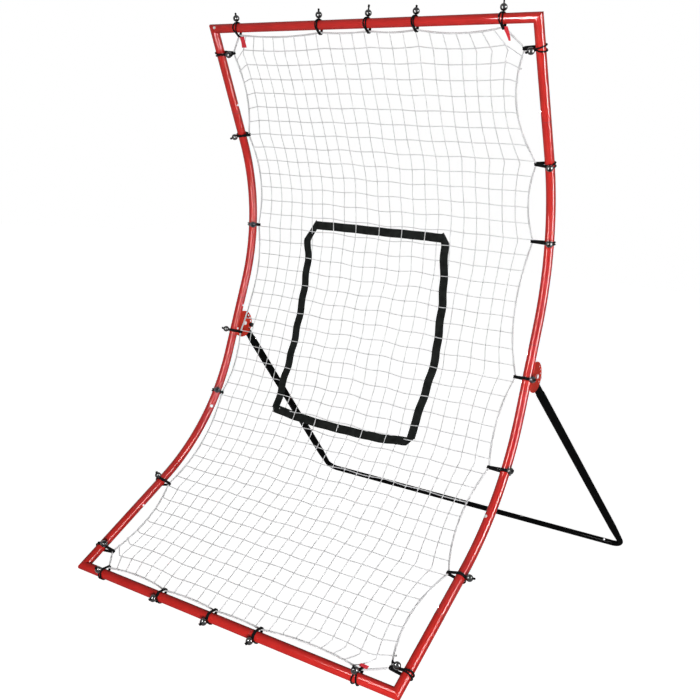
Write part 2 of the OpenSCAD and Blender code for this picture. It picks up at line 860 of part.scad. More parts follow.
// Turns from the net's side, worked out from the turns given for each tube
function left_turn(i) = left_tie_a[i];
function right_turn(i) = right_tie_a[i] - 180;
function top_turn(i) = top_tie_a[i] + 90 + upper_a;
function bottom_turn(i) = 90 - lower_a - bottom_tie_a[i];

module tie_cords_left() {
    color(BLACK) placed() for (i = [0:len(left_tie_s) - 1]) {
        at_side_tie(LEFT, left_tie_s[i]) tie_cord(rope_side, left_turn(i));
    }
}

module tie_cords_right() {
    color(BLACK) placed() for (i = [0:len(right_tie_s) - 1]) {
        at_side_tie(RIGHT, right_tie_s[i]) tie_cord(rope_side, right_turn(i));
    }
}

module tie_cords_top() {
    color(BLACK) placed() for (i = [0:len(top_tie_x) - 1]) {
        at_top_tie(top_tie_x[i]) tie_cord(rope_end, top_turn(i));
    }
}

module tie_cords_bottom() {
    color(BLACK) placed() for (i = [0:len(bottom_tie_x) - 1]) {
        at_bottom_tie(bottom_tie_x[i]) tie_cord(rope_end, bottom_turn(i));
    }
}

module tie_balls_left() {
    color(BLACK) placed() for (i = [0:len(left_tie_s) - 1]) {
        at_side_tie(LEFT, left_tie_s[i]) tie_ball(rope_side, left_turn(i));
    }
}

module tie_balls_right() {
    color(BLACK) placed() for (i = [0:len(right_tie_s) - 1]) {
        at_side_tie(RIGHT, right_tie_s[i]) tie_ball(rope_side, right_turn(i));
    }
}

module tie_balls_top() {
    color(BLACK) placed() for (i = [0:len(top_tie_x) - 1]) {
        at_top_tie(top_tie_x[i]) tie_ball(rope_end, top_turn(i));
    }
}

module tie_balls_bottom() {
    color(BLACK) placed() for (i = [0:len(bottom_tie_x) - 1]) {
        at_bottom_tie(bottom_tie_x[i]) tie_ball(rope_end, bottom_turn(i));
    }
}

// A flat tag below the rope at s, above it where up is 1
module corner_tag(x, s, up) {
    on_rail(s, x) translate([-tag_w / 2, -tag_back - tag_t, up * tag_in_rope])
        sided_up(up) cube([tag_w, tag_t, tag_l]);
}

module corner_tags() {
    color(TAG_RED) placed() {
        for (x = top_tag_x) {
            corner_tag(x, net_s1, -1);
        }
        corner_tag(bottom_tag_x, net_s0, 1);
    }
}

// ---- Nodes ----

upper_corner(LEFT);  // upper_corner_left
upper_corner(RIGHT);  // upper_corner_right
lower_corner(LEFT);  // lower_corner_left
lower_corner(RIGHT);  // lower_corner_right
upper_curve(LEFT);  // upper_curve_left
upper_curve(RIGHT);  // upper_curve_right
lower_curve(LEFT);  // lower_curve_left
lower_curve(RIGHT);  // lower_curve_right
hinge_tube(LEFT);  // hinge_tube_left
hinge_tube(RIGHT);  // hinge_tube_right
hinge_plates(LEFT);  // hinge_plates_left
hinge_plates(RIGHT);  // hinge_plates_right
pivot_bolt(LEFT);  // pivot_bolt_left
pivot_bolt(RIGHT);  // pivot_bolt_right
pivot_nuts();
pivot_spacers();
stop_pin(LEFT);  // stop_pin_left
stop_pin(RIGHT);  // stop_pin_right
stop_knob(LEFT);  // stop_knob_left
stop_knob(RIGHT);  // stop_knob_right
frame_button(LEFT, s_upper_joint + button_back);  // button_upper_left
frame_button(RIGHT, s_upper_joint + button_back);  // button_upper_right
frame_button(LEFT, s_hinge_high - button_back);  // button_hinge_top_left
frame_button(RIGHT, s_hinge_high - button_back);  // button_hinge_top_right
frame_button(LEFT, s_hinge_low + button_back);  // button_hinge_bottom_left
frame_button(RIGHT, s_hinge_low + button_back);  // button_hinge_bottom_right
frame_button(LEFT, s_lower_joint + button_back);  // button_lower_left
frame_button(RIGHT, s_lower_joint + button_back);  // button_lower_right
cross_button(s_top, top_joint_x);  // button_top
cross_button(0, bottom_joint_x);  // button_bottom
net_vertical_cords();
net_cross_cords();
net_border_rope();
cross_strap(zone_s1);  // strap_top
cross_strap(zone_s0);  // strap_bottom
side_strap(LEFT);  // strap_left
side_strap(RIGHT);  // strap_right
tie_cords_top();
tie_cords_bottom();
tie_cords_left();
tie_cords_right();
tie_balls_top();
tie_balls_bottom();
tie_balls_left();
tie_balls_right();
corner_tags();
rail_plugs();
stand_stub(LEFT);  // stand_stub_left
stand_stub(RIGHT);  // stand_stub_right
stand_leg(LEFT);  // stand_leg_left
stand_leg(RIGHT);  // stand_leg_right
stand_bar(LEFT);  // stand_bar_left
stand_bar(RIGHT);  // stand_bar_right
stand_plug();
leg_button(LEFT);  // button_leg_left
leg_button(RIGHT);  // button_leg_right
bar_button(LEFT);  // button_bar_left
bar_button(RIGHT);  // button_bar_right
bar_middle_button();  // button_bar_middle
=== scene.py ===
# %% [markdown]
# # Pitching target net
# A rebound net on a bent steel tube frame, with a webbing strike zone and a folding stand.
# The hard parts come from the CAD model as they are. This lesson gives them their finish and
# makes the soft parts anew: the knotted net, its border rope, the webbing, the elastic ties and
# the tags. A pale corner plug and the hairlines at the tube joints are added too.

import math

import bmesh
import bpy
from mathutils import Matrix, Vector


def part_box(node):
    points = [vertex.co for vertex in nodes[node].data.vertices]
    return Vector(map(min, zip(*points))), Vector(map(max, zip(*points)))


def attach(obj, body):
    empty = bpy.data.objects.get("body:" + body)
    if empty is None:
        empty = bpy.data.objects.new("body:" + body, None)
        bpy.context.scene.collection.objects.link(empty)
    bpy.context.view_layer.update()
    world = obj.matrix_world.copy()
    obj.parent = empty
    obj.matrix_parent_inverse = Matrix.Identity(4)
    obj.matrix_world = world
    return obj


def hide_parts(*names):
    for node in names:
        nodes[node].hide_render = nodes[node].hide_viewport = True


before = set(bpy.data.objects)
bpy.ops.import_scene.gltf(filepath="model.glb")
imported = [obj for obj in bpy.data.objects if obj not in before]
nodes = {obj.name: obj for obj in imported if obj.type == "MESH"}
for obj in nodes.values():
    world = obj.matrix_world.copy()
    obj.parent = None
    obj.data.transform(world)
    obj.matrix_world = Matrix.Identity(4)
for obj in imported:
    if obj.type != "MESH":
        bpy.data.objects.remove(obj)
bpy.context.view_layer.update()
print("CAD nodes:", len(nodes))

# %% [markdown]
# ## The rail's curve
# Both side rails bend the same way: straight, bend, straight, bend, straight. The net follows them,
# so every soft piece is placed by two numbers: x across the net, and s, the way along the rail.
# The numbers are the CAD model's, in metres.

# %% Rail curve
TUBE_RADIUS = 0.015
RAIL_X = 0.595
END_LENGTH = 0.410
BEND_RADIUS = 0.720
BEND_ANGLE = math.radians(42.5)
MIDDLE_LENGTH = 0.280
LEAN = math.radians(13.8)

BEND_ARC = BEND_RADIUS * BEND_ANGLE
S_BENDS = (END_LENGTH, END_LENGTH + BEND_ARC)
S_BENDS += (S_BENDS[1] + MIDDLE_LENGTH, S_BENDS[1] + MIDDLE_LENGTH + BEND_ARC)
S_TOP = S_BENDS[3] + END_LENGTH
LOW_ANGLE = LEAN + BEND_ANGLE
HIGH_ANGLE = LEAN - BEND_ANGLE


def rail_angle(s):
    """Turn of the rail from upright, in radians, at s."""
    if s < S_BENDS[0]:
        return LOW_ANGLE
    if s < S_BENDS[1]:
        return LOW_ANGLE - (s - S_BENDS[0]) / BEND_RADIUS
    if s < S_BENDS[2]:
        return LEAN
    if s < S_BENDS[3]:
        return LEAN - (s - S_BENDS[2]) / BEND_RADIUS
    return HIGH_ANGLE


def straight(start, angle, length):
    return start[0] + length * math.sin(angle), start[1] + length * math.cos(angle)


def bent(start, angle, turn):
    return (start[0] + BEND_RADIUS * (math.cos(angle - turn) - math.cos(angle)),
            start[1] + BEND_RADIUS * (math.sin(angle) - math.sin(angle - turn)))


CORNERS = [straight((0.0, 0.0), LOW_ANGLE, END_LENGTH)]
CORNERS.append(bent(CORNERS[0], LOW_ANGLE, BEND_ANGLE))
CORNERS.append(straight(CORNERS[1], LEAN, MIDDLE_LENGTH))
CORNERS.append(bent(CORNERS[2], LEAN, BEND_ANGLE))


def rail_point(s):
    """Side view place (y, z) of the rail's centreline at s, from the bottom tube's centre."""
    if s < S_BENDS[0]:
        return straight((0.0, 0.0), LOW_ANGLE, s)
    if s < S_BENDS[1]:
        return bent(CORNERS[0], LOW_ANGLE, (s - S_BENDS[0]) / BEND_RADIUS)
    if s < S_BENDS[2]:
        return straight(CORNERS[1], LEAN, s - S_BENDS[1])
    if s < S_BENDS[3]:
        return bent(CORNERS[2], LEAN, (s - S_BENDS[2]) / BEND_RADIUS)
    return straight(CORNERS[3], HIGH_ANGLE, s - S_BENDS[3])


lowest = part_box("lower_corner_left")[0]
BOTTOM_Y = lowest[1] + TUBE_RADIUS
BOTTOM_Z = lowest[2] + TUBE_RADIUS


def place(x, s, back=0.0):
    """A point beside the net: x across, s along the rail, back behind the rail's centreline."""
    angle = rail_angle(s)
    y, z = rail_point(s)
    return Vector((x, BOTTOM_Y + y + back * math.cos(angle), BOTTOM_Z + z - back * math.sin(angle)))


print("rail length:", round(S_TOP, 4), "top of the rail:", [round(v, 3) for v in place(0, S_TOP)])

# %% [markdown]
# ## Camera
# The camera stands to the front and right at about chest height, turned to the left and tipped
# down a little. A small roll and a small lens shift place the net in the frame.

# %% Camera
IMAGE_SIDE = 700
SENSOR_WIDTH = 36.0
FOCAL_LENGTH_PX = 894.4
CENTRE_PX = (378.1, 323.3)
CAMERA_YAW = math.radians(31.01)
CAMERA_PITCH = math.radians(6.99)
CAMERA_ROLL = math.radians(-5.28)
CAMERA_FROM_BOTTOM_TUBE = Vector((1.6041, -1.9427, 1.2272))

forward = Vector((-math.sin(CAMERA_YAW) * math.cos(CAMERA_PITCH),
                  math.cos(CAMERA_YAW) * math.cos(CAMERA_PITCH),
                  -math.sin(CAMERA_PITCH)))
level_right = Vector((math.cos(CAMERA_YAW), math.sin(CAMERA_YAW), 0.0))
level_down = forward.cross(level_right)
right = math.cos(CAMERA_ROLL) * level_right + math.sin(CAMERA_ROLL) * level_down
down = forward.cross(right)

camera_data = bpy.data.cameras.new("camera")
camera_data.sensor_width = SENSOR_WIDTH
camera_data.lens = FOCAL_LENGTH_PX / IMAGE_SIDE * SENSOR_WIDTH
camera_data.shift_x = (IMAGE_SIDE / 2 - CENTRE_PX[0]) / IMAGE_SIDE
camera_data.shift_y = (CENTRE_PX[1] - IMAGE_SIDE / 2) / IMAGE_SIDE
camera_data.clip_end = 100.0
camera = bpy.data.objects.new("camera", camera_data)
bpy.context.scene.collection.objects.link(camera)
turn = Matrix((right, -down, -forward)).transposed().to_4x4()
camera_place = Vector((0.0, BOTTOM_Y, BOTTOM_Z)) + CAMERA_FROM_BOTTOM_TUBE
camera.matrix_world = Matrix.Translation(camera_place) @ turn
bpy.context.scene.camera = camera
bpy.context.scene.view_settings.view_transform = "Standard"
print("lens:", round(camera_data.lens, 2))
print("shift:", round(camera_data.shift_x, 4), round(camera_data.shift_y, 4))

# %% [markdown]
# ## Materials
# A small set of helpers keeps each recipe short. Patterns read Object coordinates, because every
# piece sits at the origin in metres, so a scale of 1000 means a feature of about a millimetre.

# %% Material helpers


def new_material(name, colour, roughness):
    """A material with one Principled shader, as (material, node tree, shader)."""
    material = bpy.data.materials.new(name)
    material.use_nodes = True
    shader = material.node_tree.nodes["Principled BSDF"]
    shader.inputs["Base Color"].default_value = (*colour, 1.0)
    shader.inputs["Roughness"].default_value = roughness
    return material, material.node_tree, shader


def noise_on(tree, scale, detail, stretch=(1.0, 1.0, 1.0)):
    """A noise texture on the piece's own coordinates."""
    coordinates = tree.nodes.new("ShaderNodeTexCoord")
    mapping = tree.nodes.new("ShaderNodeMapping")
    mapping.inputs["Scale"].default_value = stretch
    noise = tree.nodes.new("ShaderNodeTexNoise")
    noise.inputs["Scale"].default_value = scale
    noise.inputs["Detail"].default_value = detail
    tree.links.new(coordinates.outputs["Object"], mapping.inputs["Vector"])
    tree.links.new(mapping.outputs["Vector"], noise.inputs["Vector"])
    return noise


def vary_colour(tree, shader, source, dark, light, low=0.35, high=0.65):
    """Colours the shader between dark and light by a texture's height."""
    ramp = tree.nodes.new("ShaderNodeValToRGB")
    ramp.color_ramp.elements[0].position = low
    ramp.color_ramp.elements[1].position = high
    ramp.color_ramp.elements[0].color = (*dark, 1.0)
    ramp.color_ramp.elements[1].color = (*light, 1.0)
    tree.links.new(source, ramp.inputs["Fac"])
    tree.links.new(ramp.outputs["Color"], shader.inputs["Base Color"])


def vary_roughness(tree, shader, source, low, high):
    mapped = tree.nodes.new("ShaderNodeMapRange")
    mapped.inputs["To Min"].default_value = low
    mapped.inputs["To Max"].default_value = high
    tree.links.new(source, mapped.inputs["Value"])
    tree.links.new(mapped.outputs["Result"], shader.inputs["Roughness"])


def add_bump(tree, shader, source, distance, strength=1.0):
    bump = tree.nodes.new("ShaderNodeBump")
    bump.inputs["Distance"].default_value = distance
    bump.inputs["Strength"].default_value = strength
    tree.links.new(source, bump.inputs["Height"])
    tree.links.new(bump.outputs["Normal"], shader.inputs["Normal"])


# %% [markdown]
# ### Painted tube
# Powder coat is paint that was baked on as dust. It flows into a gloss with a fine orange peel, so
# the recipe is a coloured base, a clear coat and a shallow bump a few millimetres across.

# %% Paints
TONE_SCALE = 14.0
PEEL_SCALE = 420.0
PEEL_DEPTH = 0.00001


def powder_coat(name, dark, light, roughness, coat, coat_roughness=0.07):
    """Baked paint whose colour drifts between dark and light, under a thin clear coat."""
    material, tree, shader = new_material(name, light, roughness)
    tone = noise_on(tree, TONE_SCALE, 3.0)
    vary_colour(tree, shader, tone.outputs["Fac"], dark, light)
    peel_noise = noise_on(tree, PEEL_SCALE, 1.0)
    vary_roughness(tree, shader, peel_noise.outputs["Fac"], roughness - 0.04, roughness + 0.06)
    add_bump(tree, shader, peel_noise.outputs["Fac"], PEEL_DEPTH)
    shader.inputs["Specular IOR Level"].default_value = 0.0
    shader.inputs["Coat Weight"].default_value = coat
    shader.inputs["Coat Roughness"].default_value = coat_roughness
    return material


red_paint = powder_coat("red_powder_coat", (0.55, 0.018, 0.014), (0.63, 0.024, 0.019), 0.30, 0.30)
# The lower corners stand on the ground, which has dulled their gloss
worn_paint = powder_coat("red_worn_coat", (0.54, 0.020, 0.016), (0.62, 0.026, 0.021), 0.36, 0.13,
                         coat_roughness=0.16)
plate_paint = powder_coat("red_plate_coat", (0.72, 0.040, 0.022), (0.80, 0.052, 0.030), 0.40, 0.06)
black_paint = powder_coat("black_powder_coat", (0.0030, 0.0030, 0.0032),
                          (0.0045, 0.0045, 0.0047), 0.40, 0.02)
# The seam material is painted shadow: the dark of the hairline gaps at the tube joints
seam_shadow = new_material("seam_shadow", (0.05, 0.006, 0.005), 0.7)[0]
print("paints:", red_paint.name, worn_paint.name, plate_paint.name, black_paint.name)

# %% [markdown]
# ### Small metal and moulded parts
# Snap buttons are bright steel, bolts are zinc plated with a faint brushed streak, and plugs, knobs
# and tie balls are moulded plastic.

# %% Metal and plastic


def metal(name, colour, roughness, streak):
    material, tree, shader = new_material(name, colour, roughness)
    shader.inputs["Metallic"].default_value = 1.0
    streaks = noise_on(tree, 900.0, 2.0, stretch=(1.0, 0.15, 1.0))
    vary_roughness(tree, shader, streaks.outputs["Fac"], roughness - streak, roughness + streak)
    return material


def plastic(name, dark, light, roughness, grain=0.00004, specular=0.50):
    material, tree, shader = new_material(name, light, roughness)
    mottle = noise_on(tree, 260.0, 3.0)
    vary_colour(tree, shader, mottle.outputs["Fac"], dark, light)
    add_bump(tree, shader, mottle.outputs["Fac"], grain)
    shader.inputs["Specular IOR Level"].default_value = specular
    return material


button_steel = metal("button_steel", (0.86, 0.86, 0.88), 0.22, 0.06)
zinc_plate = metal("zinc_plate", (0.66, 0.66, 0.68), 0.34, 0.10)
pale_plastic = plastic("pale_plastic", (0.70, 0.70, 0.68), (0.82, 0.82, 0.80), 0.42)
black_plastic = plastic("black_plastic", (0.004, 0.004, 0.004), (0.008, 0.008, 0.008), 0.45,
                        specular=0.12)
ball_plastic = plastic("ball_plastic", (0.003, 0.003, 0.0035), (0.006, 0.006, 0.0065), 0.16,
                       grain=0.00002)

# %% Finish the CAD nodes
FINISHES = {
    "upper_corner": red_paint, "lower_corner": worn_paint,
    "upper_curve": red_paint, "lower_curve": red_paint,
    "hinge_tube": red_paint, "hinge_plates": plate_paint,
    "pivot_bolt": zinc_plate, "pivot_nuts": zinc_plate, "pivot_spacers": black_plastic,
    "stop_pin": zinc_plate, "stop_knob": black_plastic, "button": button_steel,
    "tie_balls": ball_plastic, "rail_plugs": pale_plastic,
    "stand_plug": pale_plastic, "stand_": black_paint,
}
for node_name, node in nodes.items():
    for start, finish in FINISHES.items():
        if node_name.startswith(start):
            node.data.materials.clear()
            node.data.materials.append(finish)
            break

# %% [markdown]
# ## Making meshes
# Cords are curves with a round bevel, turned into meshes once their run is right. Small repeated
# shapes are modelled once and stamped where they belong.

# %% Mesh helpers


def deselect_all():
    for item in bpy.context.selected_objects:
        item.select_set(False)


def take(item):
    """Selects one object alone and makes it active."""
    deselect_all()
    item.select_set(True)
    bpy.context.view_layer.objects.active = item


def cord_mesh(name, runs, radius, material, sides=1, closed=False):
    """Round cords along lists of points, as one mesh."""
    data = bpy.data.curves.new(name, "CURVE")
    data.dimensions = "3D"
    data.bevel_depth = radius
    data.bevel_resolution = sides
    data.use_fill_caps = not closed
    for points in runs:
        spline = data.splines.new("POLY")
        spline.points.add(len(points) - 1)
        for point, co in zip(spline.points, points):
            point.co = (*co, 1.0)
        spline.use_cyclic_u = closed
    item = bpy.data.objects.new(name, data)
    bpy.context.scene.collection.objects.link(item)
    take(item)
    bpy.ops.object.convert(target="MESH")
    item = bpy.context.view_layer.objects.active
    item.name = name
    bpy.ops.object.shade_smooth()
    item.data.materials.clear()
    item.data.materials.append(material)
    return item


def stamped(name, pattern, places, material):
    """One mesh that repeats pattern's mesh at each matrix in places."""
    vertices = [v.co.copy() for v in pattern.data.vertices]
    polygons = [list(p.vertices) for p in pattern.data.polygons]
    all_vertices, all_faces = [], []
    for matrix in places:
        first = len(all_vertices)
        all_vertices += [matrix @ co for co in vertices]
        all_faces += [[first + i for i in face] for face in polygons]
    data = bpy.data.meshes.new(name)
    data.from_pydata(all_vertices, [], all_faces)
    item = bpy.data.objects.new(name, data)
    bpy.context.scene.collection.objects.link(item)
    take(item)
    bpy.ops.object.shade_smooth()
    item.data.materials.append(material)
    bpy.data.objects.remove(pattern)
    return item


def between(value, table):
    """Straight-line value from a table of (place, value) rows in rising order."""
    if value <= table[0][0]:
        return table[0][1]
    for (a, fa), (b, fb) in zip(table, table[1:]):
        if value <= b:
            return fa + (fb - fa) * (value - a) / (b - a)
    return table[-1][1]


# %% [markdown]
# ## Border rope
# Elastic ties pull the border rope out to the tubes, and between two ties the net pulls it back
# in. So the rope's run is a list of tie points with a sag between each pair, and the corners are
# cut off from the last tie on one tube to the first on the next.

# %% Where the ties hold the rope
LEFT_TIES = [(0.082, -0.541), (0.390, -0.556), (0.790, -0.570), (1.028, -0.562),
             (1.442, -0.567), (1.785, -0.563), (2.083, -0.537)]
RIGHT_TIES = [(0.060, 0.546), (0.390, 0.556), (0.755, 0.540), (1.050, 0.556),
              (1.483, 0.540), (1.730, 0.552), (2.083, 0.547)]
LEFT_SAGS = [0.030, 0.014, 0.012, 0.018, 0.018, 0.026]
RIGHT_SAGS = [0.036, 0.040, 0.024, 0.040, 0.026, 0.046]
TOP_TIES = [-0.490, -0.152, 0.032, 0.202, 0.488]
BOTTOM_TIES = [-0.503, -0.252, -0.046, 0.128, 0.472]
TOP_SAGS = [0.010, 0.004, 0.006, 0.014]
BOTTOM_SAGS = [0.012, 0.006, 0.004, 0.014]
END_GAP = 0.024
TOP_ROPE_S = S_TOP - END_GAP
SAG_STEPS = 12


def with_sags(held, sags, inward):
    """Rows (place, edge) between ties, with each gap's middle drawn inward."""
    rows = []
    for (a, edge_a), (b, edge_b), sag in zip(held, held[1:], sags):
        for step in range(SAG_STEPS):
            t = step / SAG_STEPS
            dip = inward * sag * 4 * t * (1 - t)
            rows.append((a + (b - a) * t, edge_a + (edge_b - edge_a) * t + dip))
    rows.append(held[-1])
    return rows


LEFT_EDGE = with_sags(LEFT_TIES, LEFT_SAGS, 1)
RIGHT_EDGE = with_sags(RIGHT_TIES, RIGHT_SAGS, -1)
TOP_EDGE = with_sags([(x, TOP_ROPE_S) for x in TOP_TIES], TOP_SAGS, -1)
BOTTOM_EDGE = with_sags([(x, END_GAP) for x in BOTTOM_TIES], BOTTOM_SAGS, 1)

# %% The rope's run
ROPE_STEP = 0.0028


def evenly(points, step):
    """Points at an even step along a closed line of (x, s) points."""
    line = points + points[:1]
    out, carried = [], 0.0
    for (xa, sa), (xb, sb) in zip(line, line[1:]):
        length = math.hypot(xb - xa, sb - sa)
        while carried < length:
            t = carried / length
            out.append((xa + (xb - xa) * t, sa + (sb - sa) * t))
            carried += step
        carried -= length
    return out


def eased(points, reach):
    """The closed line with its corners rounded by a running mean."""
    count = len(points)
    out = []
    for i in range(count):
        near = [points[(i + k) % count] for k in range(-reach, reach + 1)]
        out.append((sum(p[0] for p in near) / len(near), sum(p[1] for p in near) / len(near)))
    return out


rope_line = [(edge, s) for s, edge in RIGHT_EDGE]
rope_line += [(x, s) for x, s in reversed(TOP_EDGE)]
rope_line += [(edge, s) for s, edge in reversed(LEFT_EDGE)]
rope_line += [(x, s) for x, s in BOTTOM_EDGE]
rope_run = eased(evenly(rope_line, ROPE_STEP), 3)
print("border rope:", len(rope_run), "points,", round(len(rope_run) * ROPE_STEP, 2), "m")

# %% [markdown]
# The rope itself is three strands laid round each other. Each strand is a cord that winds round the
# rope's run, a third of a turn apart from the next.

# %% Cord and rope materials


def cord_material(name, dark, light, fibre, sheen=0.25, specular=0.3):
    material, tree, shader = new_material(name, light, 0.85)
    shader.inputs["Specular IOR Level"].default_value = specular
    fibres = noise_on(tree, fibre, 3.0)
    vary_colour(tree, shader, fibres.outputs["Fac"], dark, light, 0.3, 0.7)
    add_bump(tree, shader, fibres.outputs["Fac"], 0.0004, 0.7)
    shader.inputs["Sheen Weight"].default_value = sheen
    shader.inputs["Sheen Roughness"].default_value = 0.5
    return material


net_white = cord_material("net_cord_white", (0.58, 0.58, 0.59), (0.78, 0.78, 0.79), 1400.0)
rope_white = cord_material("border_rope_white", (0.56, 0.56, 0.57), (0.78, 0.78, 0.79), 1200.0)
elastic_black = cord_material("elastic_black", (0.0025, 0.0025, 0.003), (0.009, 0.009, 0.0095),
                              1300.0, sheen=0.0, specular=0.03)

# %% Lay the border rope
STRANDS = 3
STRAND_RADIUS = 0.0016
LAY_RADIUS = 0.0015
LAY_POINTS = 9

centre = [place(x, s) for x, s in rope_run]
strand_runs = []
for strand in range(STRANDS):
    run = []
    for i, point in enumerate(centre):
        along = (centre[(i + 1) % len(centre)] - centre[i - 1]).normalized()
        out = Vector((0.0, 1.0, 0.0)).cross(along).cross(along).normalized()
        side = along.cross(out)
        phase = 2 * math.pi * (i / LAY_POINTS + strand / STRANDS)
        run.append(point + LAY_RADIUS * (math.cos(phase) * out + math.sin(phase) * side))
    strand_runs.append(run)
border_rope = cord_mesh("border_rope", strand_runs, STRAND_RADIUS, rope_white, 0, closed=True)
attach(border_rope, "frame")
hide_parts("net_border_rope")
print("border rope:", len(border_rope.data.polygons), "faces")

# %% [markdown]
# ## Net
# The net is a grid of cords with a knot at every crossing. No square is quite true: the whole grid
# waves a little, and near the edges its lines follow the drawn-in border.

# %% Grid of the net
COLUMNS = 23
ROWS = 42
EDGE_REACH = 2.6
MEAN_LEFT = -0.550
MEAN_RIGHT = 0.530
WAVE_X = 0.0024
WAVE_S = 0.0028


def left_edge(s):
    return between(s, [(END_GAP, BOTTOM_TIES[0])] + LEFT_EDGE + [(TOP_ROPE_S, TOP_TIES[0])])


def right_edge(s):
    return between(s, [(END_GAP, BOTTOM_TIES[-1])] + RIGHT_EDGE + [(TOP_ROPE_S, TOP_TIES[-1])])


def top_edge(x):
    left, right = LEFT_TIES[-1], RIGHT_TIES[-1]
    return between(x, [(left[1], left[0])] + TOP_EDGE + [(right[1], right[0])])


def bottom_edge(x):
    left, right = LEFT_TIES[0], RIGHT_TIES[0]
    return between(x, [(left[1], left[0])] + BOTTOM_EDGE + [(right[1], right[0])])


def grid(column, row):
    """The net's (x, s) at a column and row, which may lie between cords."""
    u, v = column / COLUMNS, row / ROWS
    s = END_GAP + v * (TOP_ROPE_S - END_GAP)
    x = MEAN_LEFT + u * (MEAN_RIGHT - MEAN_LEFT)
    from_left, from_right = column / EDGE_REACH, (COLUMNS - column) / EDGE_REACH
    from_low, from_high = row / EDGE_REACH, (ROWS - row) / EDGE_REACH
    pull_left = (left_edge(s) - MEAN_LEFT) * math.exp(-from_left)
    x += pull_left + (right_edge(s) - MEAN_RIGHT) * math.exp(-from_right)
    pull_low = (bottom_edge(x) - END_GAP) * math.exp(-from_low)
    s += pull_low + (top_edge(x) - TOP_ROPE_S) * math.exp(-from_high)
    calm = 4 * u * (1 - u) * 4 * v * (1 - v)
    x += calm * WAVE_X * (math.sin(row * 0.61 + column * 0.83)
                          + math.sin(row * 1.7 - column * 0.4 + 1.0))
    s += calm * WAVE_S * (math.sin(column * 0.57 - row * 0.35 + 2.0)
                          + math.sin(column * 1.9 + row * 0.7))
    return x, s


# %% Room for the strike zone
LEFT_BAND = [(0.780, -0.309), (0.850, -0.313), (0.905, -0.315), (0.960, -0.310), (1.060, -0.309),
             (1.175, -0.313), (1.265, -0.321), (1.355, -0.325), (1.402, -0.334)]
RIGHT_BAND = [(0.786, 0.250), (0.830, 0.246), (0.870, 0.249), (0.905, 0.252), (0.960, 0.258),
              (1.010, 0.264), (1.066, 0.267), (1.138, 0.260), (1.192, 0.255), (1.247, 0.250),
              (1.300, 0.243), (1.355, 0.236), (1.409, 0.230), (1.436, 0.230)]
BAND_WIDTH = 0.030
BAND_HALF = BAND_WIDTH / 2
UNDER_BAND = 0.0055


def under_band(x, s):
    """How far back an upright cord goes to pass behind a side band of the strike zone."""
    back = 0.0
    for line in (LEFT_BAND, RIGHT_BAND):
        if line[0][0] - 0.01 < s < line[-1][0] + 0.03:
            away = abs(x - between(s, line)) - BAND_HALF
            back = max(back, UNDER_BAND * min(1.0, max(0.0, 1.0 - away / 0.006)))
    return back


# %% Net cords and knots
CORD_RADIUS = 0.0015
POINTS_A_SQUARE = 4


def run_across(fixed, count, across):
    """Points of one cord through the grid, from border to border."""
    points = []
    for k in range(count * POINTS_A_SQUARE + 1):
        moving = k / POINTS_A_SQUARE
        x, s = grid(moving, fixed) if across else grid(fixed, moving)
        points.append(place(x, s, 0.0 if across else under_band(x, s)))
    return points


vertical_cords = cord_mesh("net_vertical", [run_across(c, ROWS, False) for c in range(1, COLUMNS)],
                           CORD_RADIUS, net_white)
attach(vertical_cords, "frame")
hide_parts("net_vertical_cords")
cross_cords = cord_mesh("net_cross", [run_across(r, COLUMNS, True) for r in range(1, ROWS)],
                        CORD_RADIUS, net_white)
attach(cross_cords, "frame")
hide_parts("net_cross_cords")
print("net cords:", len(vertical_cords.data.polygons), len(cross_cords.data.polygons), "faces")

# %% Knots
KNOT_SIZE = (0.0027, 0.0022, 0.0036)


def knot_pattern(size):
    """A low round bump, like a cord pulled tight round another."""
    deselect_all()
    bpy.ops.mesh.primitive_uv_sphere_add(segments=7, ring_count=4, radius=1.0)
    item = bpy.context.view_layer.objects.active
    bpy.ops.object.mode_set(mode="EDIT")
    bpy.ops.mesh.select_all(action="SELECT")
    bpy.ops.transform.resize(value=size, center_override=(0.0, 0.0, 0.0))
    bpy.ops.object.mode_set(mode="OBJECT")
    return item


def lean_matrix(point, s, spin):
    lean = Matrix.Rotation(-rail_angle(s), 4, "X")
    return Matrix.Translation(point) @ lean @ Matrix.Rotation(spin, 4, "Y")


knot_places = []
for column in range(COLUMNS + 1):
    for row in range(ROWS + 1):
        if column in (0, COLUMNS) and row in (0, ROWS):
            continue
        x, s = grid(column, row)
        spin = 0.5 * math.sin(column * 2.1 + row * 1.3)
        knot_places.append(lean_matrix(place(x, s, under_band(x, s)), s, spin))
net_knots = stamped("net_knots", knot_pattern(KNOT_SIZE), knot_places, net_white)
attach(net_knots, "frame")
print("knots:", len(knot_places))

# %% [markdown]
# ## Strike zone
# Four lengths of webbing are woven through the net: every second cord passes in front of the band
# and the others behind it. The band is a strip of faces that waves forwards and backwards by a few
# millimetres, with a little thickness. Its own UV map runs along and across it, for the weave.

# %% Webbing material


